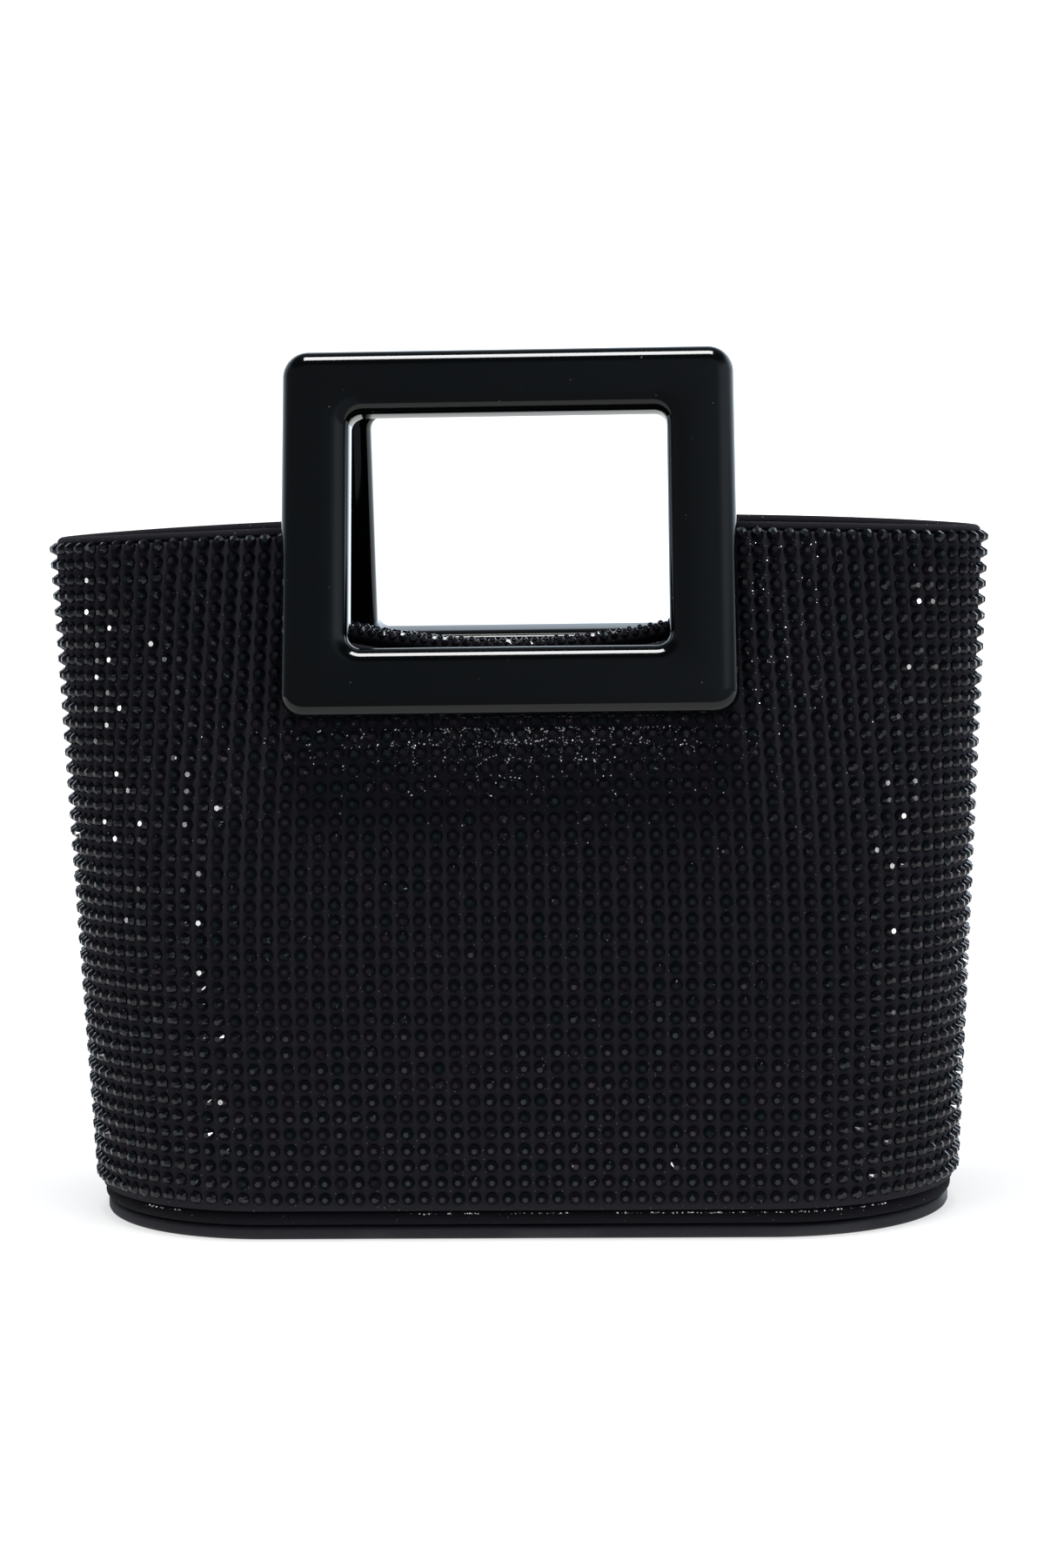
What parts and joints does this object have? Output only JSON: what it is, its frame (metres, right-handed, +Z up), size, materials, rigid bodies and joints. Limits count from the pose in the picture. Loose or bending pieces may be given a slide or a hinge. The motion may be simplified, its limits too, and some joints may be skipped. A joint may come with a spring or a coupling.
{
  "type": "box bag",
  "caption": "Small stiff fabric box bag with square-frame top handles, an open mouth, a piped foot and a flat base.",
  "frame": {"origin": "middle of the flat underside of the base board", "axes": "+Z up, +X along the bag's width, -Y towards the front"},
  "size_m": [0.226, 0.0958, 0.2098],
  "materials": {
    "stone_fabric": "matt black cloth set with a close grid of faceted black stones",
    "suede_trim": "matt black suede cloth with a fine glitter",
    "black_resin": "polished black cast resin",
    "base_cloth": "black cloth over a stiff board"
  },
  "bodies": {
    "root": {"base_board": "base_cloth", "base_welt": "suede_trim", "front_panel": "stone_fabric", "back_panel": "stone_fabric", "front_window_roll": "suede_trim", "back_window_roll": "suede_trim", "front_handle": "black_resin", "back_handle": "black_resin", "left_rim_binding": "suede_trim", "right_rim_binding": "suede_trim"}
  },
  "joints": []
}
